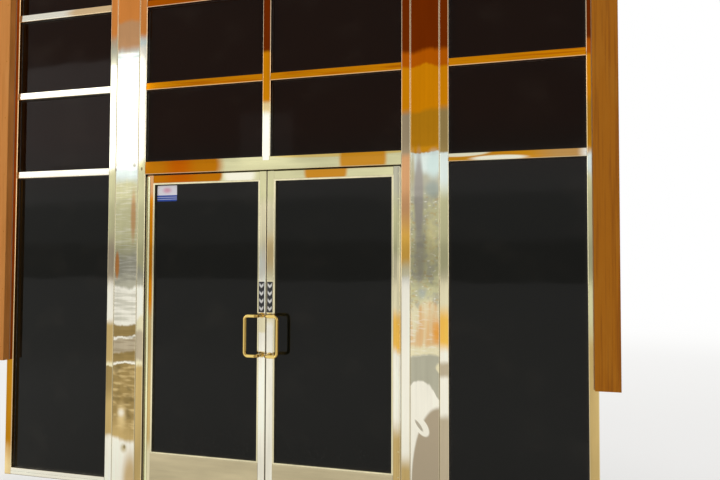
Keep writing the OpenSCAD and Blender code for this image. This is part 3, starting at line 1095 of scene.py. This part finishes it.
@dataclass
class Cladding:
    """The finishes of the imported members, node by node."""

    def left_panel(self) -> BrassFinish:
        """Sheet of the left pilaster with painted reflections: blazing at eye height and above the door, with
        banded gold below, and painted highlight and shade at its low dent.

        Returns:
            Its finish.
        """
        # Zones, bands and marks are painted reflections.
        zones = ladder(
            (0.0, Tone.PEARL), (0.33, Tone.HONEY, 0.02), (0.42, Tone.BRONZE, 0.10),
            (0.84, Tone.PEARL, 0.006), (0.858, Tone.BRONZE, 0.01), (0.93, Tone.TAUPE, 0.01),
            (1.012, Tone.PEARL, 0.006), (1.028, Tone.BRONZE, 0.006), (1.12, Tone.PEARL, 0.01),
            (1.37, Tone.SLATE, 0.015), (1.60, Tone.SAGE, 0.05), (2.12, Tone.FROST, 0.04), (2.22, Tone.PEARL),
            (2.99, Tone.FROST, 0.01), (3.05, Tone.ROSE, 0.04), (3.25, Tone.COPPER, 0.02),
        )
        bands = (
            Bands(0.36, 0.83, Tone.GOLD, 0.5, 0.030, 0.42, 0.0, 0.10, 0.12),
            Bands(0.42, 0.83, Tone.PEAT, 0.7, 0.055, 0.42, 9.6, 0.08, 0.12),
            Bands(0.88, 1.11, Tone.PEAT, 0.35, 0.016, 0.45, 2.8, 0.20, 0.12),
            Bands(1.10, 1.34, Tone.SLATE, 0.6, 0.022, 0.50, 5.9, 0.20, 0.14),
            Bands(1.42, 2.10, Tone.PEARL, 0.35, 0.010, 0.45, 7.7, 0.10, 0.14),
        )
        marks = self.head_height_marks() + (
            Mark(-1.130, 1.53, 0.022, 0.12, (0.72, 0.26, 0.03), 0.85),
            Mark(-1.004, 1.87, 0.030, 0.24, (0.60, 0.30, 0.11), 0.8, 0.3),
            Mark(-1.000, 0.05, 0.085, 0.25, (0.60, 0.40, 0.15), 0.85, 0.3),
            # Painted highlights above the low dent, and painted shade in it.
            Mark(-1.075, 0.48, 0.055, 0.13, Tone.GOLD.value, 0.7, 0.1),
            Mark(-1.080, 0.505, 0.040, 0.045, Tone.PEARL.value, 0.8, 0.0),
            Mark(-1.056, 0.262, 0.038, 0.046, (0.50, 0.37, 0.13), 0.7, 0.1),
            Mark(-1.050, 0.272, 0.014, 0.020, (0.24, 0.19, 0.06), 0.8, 0.2),
        )
        dents = (
            Dent(-1.056, 0.262, 0.045, 0.050, 0.0020),
            Dent(-1.030, 0.72, 0.06, 0.14, 0.0006, 0.5),
        )
        return SheetFinish("left_panel_brass", zones, bands, marks, dents)

    def right_panel(self) -> BrassFinish:
        """Sheet of the right pilaster with painted reflections: red-brown aloft, amber, then pearl and grey
        in sweeping patches.

        Returns:
            Its finish.
        """
        zones = ladder(
            (0.0, Tone.PEARL), (0.83, Tone.SLATE, 0.008), (0.98, Tone.STRAW, 0.01), (1.30, Tone.SAGE, 0.05),
            (1.95, Tone.SLATE, 0.06), (2.10, Tone.FROST, 0.04), (2.235, Tone.OCHRE, 0.006),
            (2.50, Tone.AMBER, 0.02), (2.76, Tone.RUST, 0.012), (2.86, Tone.UMBER, 0.02),
        )
        bands = (
            Bands(1.26, 2.05, Tone.SLATE, 0.7, 0.05, 0.46, 0.0, 0.04, 0.10),
            Bands(1.26, 1.98, Tone.PEARL, 0.7, 0.014, 0.34, 4.1, 0.03, 0.05),
            Bands(1.26, 1.98, Tone.HONEY, 0.5, 0.018, 0.36, 8.3, 0.03, 0.06),
            Bands(1.04, 1.28, Tone.AMBER, 0.5, 0.30, 0.55, 6.2, 0.03, 0.16),
            Bands(0.98, 1.26, Tone.PEARL, 0.5, 0.012, 0.40, 6.2, 0.06, 0.08),
        )
        marks = (
            Mark(1.120, 2.15, 0.066, 0.12, (0.66, 0.80, 0.75), 0.85, 0.3),
            Mark(1.110, 2.00, 0.066, 0.075, (0.36, 0.41, 0.36), 0.8, 0.3),
            Mark(0.985, 2.13, 0.026, 0.16, (0.46, 0.40, 0.22), 0.8, 0.2),
            Mark(1.105, 1.70, 0.050, 0.22, (0.90, 0.80, 0.38), 0.6, 0.1),
            Mark(1.026, 1.96, 0.038, 0.34, (0.36, 0.33, 0.29), 0.9, 0.5),
            Mark(1.032, 1.62, 0.050, 0.36, (0.40, 0.37, 0.29), 0.7, 0.2),
            Mark(1.045, 1.36, 0.045, 0.050, (0.48, 0.54, 0.50), 0.6, 0.1),
            Mark(1.090, 1.17, 0.090, 0.16, (0.88, 0.52, 0.20), 0.5, 0.0),
            Mark(1.140, 1.13, 0.040, 0.11, (0.90, 0.36, 0.02), 0.8, 0.2),
            # A painted shade patch low down, then a painted highlight and shade at the low dent.
            Mark(1.150, 0.20, 0.175, 0.49, (0.44, 0.355, 0.235), 0.95, 0.93),
            Mark(1.042, 0.555, 0.040, 0.075, Tone.PEARL.value, 0.95, 0.8, -0.6),
            Mark(1.027, 0.560, 0.012, 0.050, (0.42, 0.37, 0.27), 0.85, 0.6, -0.63),
        )
        dents = (
            Dent(1.027, 0.563, 0.026, 0.085, 0.0016, -0.4),
            Dent(1.070, 0.74, 0.080, 0.22, 0.0014, 0.25),
            Dent(1.060, 1.62, 0.07, 0.25, 0.0006, -0.2),
        )
        return SheetFinish("right_panel_brass", zones, bands, marks, dents, sweep=6.0, sweep_x=1.02)

    def head_height_marks(self) -> Tuple[Mark, ...]:
        """Small dark marks on the left posts and panel, at the height of the door's head.

        Returns:
            The marks.
        """
        return (
            Mark(-1.152, 2.20, 0.008, 0.018, (0.10, 0.045, 0.02)),
            Mark(-1.001, 2.23, 0.016, 0.022, (0.16, 0.17, 0.13), 0.6),
            Mark(-0.942, 2.20, 0.009, 0.016, (0.14, 0.06, 0.02)),
        )

    def posts(self) -> Tuple[Dressing, ...]:
        """Finishes of the upright members of the fixed frame, with their reflections painted in as zones.

        Returns:
            Each finish with its nodes.
        """
        amber_top = ((2.50, Tone.AMBER, 0.03), (2.76, Tone.RUST, 0.015), (2.86, Tone.UMBER, 0.02))
        left_outer = ladder(
            (0.0, Tone.PEARL), (0.32, Tone.HONEY), (0.62, Tone.BRONZE, 0.1), (0.83, Tone.STRAW, 0.01),
            (0.87, Tone.HONEY, 0.02), (1.14, Tone.PEARL, 0.03), (1.39, Tone.TAUPE, 0.06),
            (1.70, Tone.SAGE, 0.10), (2.20, Tone.PEARL), (2.98, Tone.SLATE), (3.12, Tone.COPPER, 0.06),
        )
        left_inner = ladder(
            (0.0, Tone.HONEY), (0.83, Tone.STRAW, 0.02), (0.87, Tone.TAUPE, 0.02), (1.05, Tone.STRAW, 0.03),
            (1.15, Tone.PEARL, 0.02), (1.36, Tone.SLATE, 0.02), (1.50, Tone.SAGE, 0.05),
            (2.24, Tone.PEARL, 0.03), (3.06, Tone.FROST, 0.03), (3.15, Tone.COPPER, 0.06),
        )
        right_inner = ladder(
            (0.0, Tone.HONEY), (0.34, Tone.PEARL, 0.06), (1.47, Tone.STRAW, 0.03),
            (1.55, Tone.APRICOT, 0.05), (1.80, Tone.ROSE, 0.12), (2.22, Tone.DUN, 0.03), *amber_top,
        )
        right_outer = ladder(
            (0.0, Tone.TAUPE), (0.62, Tone.PEARL, 0.03), (0.86, Tone.TAUPE, 0.02), (0.94, Tone.PEARL, 0.02),
            (1.03, Tone.APRICOT, 0.04), (1.25, Tone.STRAW, 0.06), (1.48, Tone.SAGE, 0.06),
            (2.0, Tone.FROST, 0.08), (2.225, Tone.BRONZE, 0.01), *amber_top,
        )
        right_jamb = ladder(
            (0.0, Tone.HONEY), (1.15, Tone.SAGE, 0.1), (2.1, Tone.FROST, 0.05), (2.22, Tone.OCHRE),
            *amber_top,
        )
        left_jamb = ladder((0.0, Tone.GOLD), (0.15, Tone.OCHRE, 0.1), (1.45, Tone.AMBER, 0.2))
        mullion = ladder(
            (2.0, Tone.PEARL), (2.53, Tone.GOLD, 0.02), (2.60, Tone.AMBER, 0.02), (2.95, Tone.UMBER, 0.02),
        )
        marks = self.head_height_marks()
        return (
            (BrassFinish("left_outer_brass", left_outer, marks=marks), ("left_outer_mullion",)),
            (BrassFinish("left_inner_brass", left_inner, marks=marks), ("left_inner_mullion",)),
            (BrassFinish("right_inner_brass", right_inner, wander=0.02, mottle=0.12),
             ("right_inner_mullion",)),
            (BrassFinish("right_outer_brass", right_outer, wander=0.02, mottle=0.12),
             ("right_outer_mullion",)),
            (BrassFinish("right_jamb_brass", right_jamb), ("right_jamb",)),
            (BrassFinish("left_jamb_brass", left_jamb), ("left_jamb",)),
            (BrassFinish("mullion_brass", mullion, wander=0.02), ("transom_mullion",)),
        )

    def bars(self) -> Tuple[Dressing, ...]:
        """Finishes of the level members of the fixed frame, with their reflections painted in as zones, bands
        and marks.

        Returns:
            Each finish with its nodes.
        """
        amber = ladder((0.0, Tone.OCHRE), (2.4, Tone.AMBER, 0.05), (3.0, Tone.RUST, 0.1))
        streaks = (Bands(2.5, 3.9, Tone.RUST, 0.6, 0.008, 0.42, 1.3, 0.35, 0.08),)
        header_marks = (
            BarMark(-0.64, 2.205, 0.36, 0.18, (0.50, 0.17, 0.004), 1.0, 0.75),
            BarMark(-0.65, 2.205, 0.16, 0.18, (0.52, 0.10, 0.001), 0.85, 0.1),
            BarMark(0.530, 2.250, 0.560, 0.027, (0.66, 0.46, 0.12), 0.85, 0.7),
            BarMark(0.665, 2.205, 0.170, 0.18, (0.58, 0.24, 0.006), 0.95, 0.8),
        )
        side_marks = (
            BarMark(1.28, 2.215, 0.20, 0.026, (0.78, 0.78, 0.58), 0.9, 0.7),
            BarMark(1.51, 2.178, 0.20, 0.020, (0.85, 0.86, 0.70), 0.9, 0.6),
            BarMark(1.92, 2.20, 0.26, 0.12, (0.48, 0.28, 0.10), 0.8, 0.2),
            BarMark(2.02, 2.19, 0.07, 0.10, (0.86, 0.88, 0.80), 0.8, 0.1),
        )
        bar_marks = (BarMark(-1.22, 3.363, 0.42, 0.06, (0.80, 0.50, 0.20), 0.8, 0.7),)
        grey, pale = ladder((0.0, Tone.SAGE)), ladder((0.0, Tone.PEARL))
        return (
            (BrassFinish("bar_brass", amber, streaks, side_marks, run=Run.LEVEL),
             ("right_bars", "center_bars", "head_members")),
            (BrassFinish("header_brass", grey, marks=header_marks, run=Run.LEVEL), ("door_header",)),
            (BrassFinish("left_bar_brass", pale, marks=bar_marks, mottle=0.1, run=Run.LEVEL),
             ("left_bars", "sidelight_sills")),
        )

    def doors(self) -> Tuple[Dressing, ...]:
        """Finishes of the leaves, their hinges and pulls, the stops and the threshold, with their reflections
        painted in.

        Returns:
            Each finish with its nodes.
        """
        left_meeting = ladder(
            (0.0, Tone.PEARL), (1.09, Tone.STRAW, 0.01), (1.18, Tone.PEARL, 0.02), (1.62, Tone.STRAW, 0.10),
            (1.96, Tone.SAGE, 0.05),
        )
        right_meeting = ladder(
            (0.0, Tone.PEARL), (1.15, Tone.STRAW, 0.03), (1.50, Tone.GOLD, 0.08), (1.72, Tone.STRAW, 0.08),
            (1.96, Tone.SAGE, 0.05),
        )
        right_hinge = ladder(
            (0.0, Tone.HONEY), (0.52, Tone.PEARL, 0.08), (1.02, Tone.APRICOT, 0.04),
            (1.24, Tone.STRAW, 0.06), (1.60, Tone.SAGE, 0.05), (1.95, Tone.SLATE, 0.1),
        )
        left_hinge = ladder(
            (0.0, Tone.STRAW), (0.30, Tone.HONEY, 0.1), (1.22, Tone.AMBER, 0.08), (2.02, Tone.ROSE, 0.05),
        )
        rail_marks = (
            BarMark(-0.66, 2.14, 0.35, 0.14, (0.50, 0.16, 0.003), 1.0, 0.9, y=LEAF_FACE),
            BarMark(-0.65, 2.14, 0.18, 0.14, (0.52, 0.10, 0.001), 0.85, 0.1, y=LEAF_FACE),
            BarMark(-0.20, 2.14, 0.14, 0.12, Tone.PEARL.value, 0.8, 0.6, y=LEAF_FACE),
            BarMark(0.41, 2.14, 0.160, 0.14, (0.58, 0.23, 0.005), 0.95, 0.8, y=LEAF_FACE),
        )
        # A dark line down the left hinge's barrel is painted shade.
        barrel_shade = (Mark(-0.908, 1.08, 0.0065, 9.0, Tone.DEEP_SHADE.value, 0.97, 0.8, y=-0.0445, deep=0.012),)
        low_rail = ladder((0.0, Tone.SAND), (1.9, Tone.SAGE))
        pull, bead = ladder((0.0, Tone.BUTTER)), ladder((0.0, Tone.STRAW))
        # The left hinge's lemon tone is a painted highlight.
        left_knuckle, saddle = ladder((0.0, Tone.LEMON)), ladder((0.0, Tone.HONEY))
        return (
            (BrassFinish("left_meeting_brass", left_meeting, wander=0.02),
             ("left_door_meeting_stile", "door_stops")),
            (BrassFinish("right_meeting_brass", right_meeting, wander=0.02), ("right_door_meeting_stile",)),
            (BrassFinish("right_stile_brass", right_hinge, wander=0.02), ("right_door_hinge_stile",)),
            (BrassFinish("left_stile_brass", left_hinge), ("left_door_hinge_stile",)),
            (BrassFinish("rail_brass", low_rail, marks=rail_marks, run=Run.LEVEL),
             both("door_top_rail", "door_bottom_rail")),
            (BrassFinish("bead_brass", bead, smooth=0.05, dull=0.12), both("door_beads")),
            (BrassFinish("hinge_brass", left_knuckle, marks=barrel_shade, smooth=0.12, dull=0.24, edge_share=0.1),
             ("left_post_hinge", "left_door_hinge")),
            (BrassFinish("right_hinge_brass", right_hinge, smooth=0.12, dull=0.24),
             ("right_post_hinge", "right_door_hinge")),
            # The pulls' rounded edges take a dark painted reflection.
            (BrassFinish("pull_brass", pull, edge_reflection=(0.30, 0.16, 0.03), mottle=0.1, ripple=0.0, edge_share=0.8),
             both("door_pulls")),
            (BrassFinish("threshold_brass", saddle, run=Run.LEVEL, smooth=0.28, dull=0.45), ("threshold",)),
        )

    def plan(self) -> Tuple[Dressing, ...]:
        """Finishes of all packed members.

        Returns:
            Each finish with its nodes.
        """
        # The left casing takes a lighter copy of the stain: painted light.
        sunlit = TimberFinish("sunned_board", (0.60, 0.235, 0.050), (0.52, 0.19, 0.035), (0.66, 0.30, 0.09))
        return (
            (self.left_panel(), ("left_pilaster_panels",)),
            (self.right_panel(), ("right_pilaster_panels",)),
            *self.posts(),
            *self.bars(),
            *self.doors(),
            (GlassFinish(), both("sidelight_glass", "door_glass")),
            (GlassFinish("transom_glass", gloss=0.10), (*both("transom_glass"), "center_transom_glass")),
            (RubberFinish(), ("glazing_gaskets", *both("door_gaskets"))),
            (TimberFinish(), ("right_casing",)),
            (sunlit, ("left_casing",)),
        )

    def dress(self) -> Dict[str, Material]:
        """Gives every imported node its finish.

        Returns:
            The materials by name.
        """
        materials: Dict[str, Material] = {}
        for finish, nodes in self.plan():
            materials[finish.name] = finish.build()
            for node in nodes:
                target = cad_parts[node]
                target.data.materials.clear()
                target.data.materials.append(materials[finish.name])
                LOG.info("%s: %s", node, finish.name)
        return materials


@dataclass
class Studio:
    """Floor, white surroundings and soft lamps.

    The flags give the tone that faces mirror at each upward slope, the boxes the patches laid over it.
    """

    floor_reach: float = 60.0
    fill: float = 0.62
    ahead: Pair = (0.52, 0.74)
    least_depth: float = 0.04
    flags: Tuple[Pair, ...] = (
        (0.030, 0.46), (0.036, 0.66), (0.100, 0.70), (0.106, 1.00), (0.166, 0.98), (0.172, 0.70),
        (0.460, 0.68), (1.000, 0.62),
    )
    boxes: Tuple[SoftBox, ...] = (
        SoftBox(-0.97, -0.676, 0.163, 0.347, 1.5),
        SoftBox(-0.50, -0.41, 0.163, 0.240, 0.40),
        SoftBox(-1.50, -1.10, -2.0, 2.5, -0.40, 0.15),
        SoftBox(1.10, 1.50, -2.0, 2.5, -0.40, 0.15),
        SoftBox(-9.0, -2.0, -2.0, 2.5, 1.8, 0.4),
        SoftBox(2.0, 9.0, -2.0, 2.5, 1.8, 0.4),
    )
    lamps: Tuple[Lamp, ...] = (
        Lamp("key", (-6.0, -4.0, 4.2), (-1.0, 0.0, 2.2), (2.5, 2.7), 5.0),
        Lamp("front", (-4.0, -8.0, 5.5), (0.0, 0.0, 1.8), (4.0, 4.0), 1.4),
        Lamp("back", (3.0, 7.0, 5.0), (0.0, 0.0, 2.0), (4.0, 3.0), 1.2),
        Lamp("top", (0.0, -1.0, 8.0), (0.0, 0.0, 0.0), (5.0, 3.0), 1.2),
    )

    def build_floor(self) -> None:
        """The floor under the entrance, which takes its shadow."""
        bm = bmesh.new()
        bmesh.ops.create_grid(bm, x_segments=8, y_segments=8, size=self.floor_reach)
        make("floor", bm, FloorFinish().build())

    def build_world(self) -> None:
        """White to the eye, and in mirrors the flags and boxes, alike before the screen and behind it."""
        world = bpy.data.worlds.new("studio")
        bpy.context.scene.world = world
        world.use_nodes = True
        g = Graph(world.node_tree)
        x, y, z = g.parts(g.add("ShaderNodeTexCoord", {}).outputs["Generated"])
        depth = g.calc("ABSOLUTE", y)
        ahead = g.rise(depth, *self.ahead)
        far = g.calc("MAXIMUM", depth, self.least_depth)
        aside, above = g.calc("DIVIDE", x, far), g.calc("DIVIDE", z, far)
        tones = g.add("ShaderNodeValToRGB", {0: g.calc("MULTIPLY_ADD", above, 0.5, 0.5)})
        stops = tones.color_ramp.elements
        while len(stops) < len(self.flags):
            stops.new(1.0)
        for stop, (height, tone) in zip(stops, self.flags):
            stop.position = 0.5 + 0.5 * height
            stop.color = (tone, tone, tone, 1.0)
        level = g.add("ShaderNodeSeparateColor", {0: tones.outputs[0]}).outputs[0]
        mirrored = g.add("ShaderNodeMix", {0: ahead, 2: 1.0, 3: level}).outputs[0]
        for box in self.boxes:
            across = g.window(aside, box.left, box.right, box.soft)
            along = g.window(above, box.low, box.high, box.soft)
            mirrored = g.calc("MULTIPLY_ADD", g.times(across, along), box.glow, mirrored)
        ray = g.add("ShaderNodeLightPath", {}).outputs
        seen = g.calc("MAXIMUM", ray["Is Glossy Ray"], ray["Is Transmission Ray"])
        level = g.add("ShaderNodeMix", {0: seen, 2: self.fill, 3: mirrored}).outputs[0]
        level = g.add("ShaderNodeMix", {0: ray["Is Camera Ray"], 2: level, 3: 1.0}).outputs[0]
        back = g.add("ShaderNodeBackground", {0: WHITE, 1: level})
        g.add("ShaderNodeOutputWorld", {0: back.outputs[0]})

    def build_lamp(self, lamp: Lamp) -> None:
        """Adds one lamp.

        Args:
            lamp: Its place, aim, size and glow.
        """
        data = bpy.data.lights.new(lamp.name, "AREA")
        data.shape = "RECTANGLE"
        data.size, data.size_y = lamp.size
        data.energy = math.pi * lamp.glow * data.size * data.size_y
        made = bpy.data.objects.new(lamp.name, data)
        made.location = lamp.place
        made.rotation_euler = (Vector(lamp.aim) - Vector(lamp.place)).to_track_quat("-Z", "Y").to_euler()
        made.visible_camera = False
        made.visible_glossy = False
        bpy.context.scene.collection.objects.link(made)

    def build(self) -> None:
        """Floor, world and lamps."""
        self.build_floor()
        self.build_world()
        for lamp in self.lamps:
            self.build_lamp(lamp)


@dataclass
class Camera:
    """The photograph's viewpoint, as fitted to the members' edges."""

    place: Point = (1.9084, -4.2506, 1.5361)
    yaw: float = 16.712
    pitch: float = 2.04
    roll: float = 0.174
    lens: float = 34.81
    sensor: float = 36.0
    sight: float = 200.0

    def build(self) -> None:
        """Sets the scene's camera."""
        yaw, pitch, roll = (math.radians(a) for a in (self.yaw, self.pitch, self.roll))
        ahead = Vector((-math.sin(yaw) * math.cos(pitch), math.cos(yaw) * math.cos(pitch), math.sin(pitch)))
        right = Vector((math.cos(yaw), math.sin(yaw), 0.0))
        up = right.cross(ahead)
        side = right * math.cos(roll) + up * math.sin(roll)
        top = up * math.cos(roll) - right * math.sin(roll)
        data = bpy.data.cameras.new("camera")
        data.sensor_width = self.sensor
        data.lens = self.lens
        data.clip_end = self.sight
        made = bpy.data.objects.new("camera", data)
        turned = Matrix((side, top, -ahead)).transposed().to_4x4()
        made.matrix_world = Matrix.Translation(self.place) @ turned
        bpy.context.scene.collection.objects.link(made)
        bpy.context.scene.camera = made


def main() -> None:
    """Dresses the entrance, adds its small fittings and sets the studio."""
    logging.basicConfig(level=logging.INFO, format="%(message)s")
    bpy.context.scene.view_settings.view_transform = "Standard"
    Camera().build()
    Studio().build()
    materials = Cladding().dress()
    enamel = EnamelFinish("plate_enamel", (0.012, 0.012, 0.014), (0.09, 0.085, 0.08)).build()
    paint = EnamelFinish("mark_paint", (0.78, 0.77, 0.74), (0.45, 0.43, 0.40), 0.45).build()
    sealant = EnamelFinish("sealant", (0.30, 0.16, 0.07), (0.18, 0.12, 0.08), 0.55).build()
    PushPlate(Side.LEFT, -0.0324).dress(enamel, paint)
    PushPlate(Side.RIGHT, 0.0273).dress(enamel, paint)
    GlassLabel().dress()
    for side in Side:
        HingeScrews(side).dress(materials["hinge_brass"])
        CasingTrim(side).dress(materials["stained_board"], sealant)
    ThresholdScrews().dress(materials["threshold_brass"])


if __name__ == "__main__":
    main()
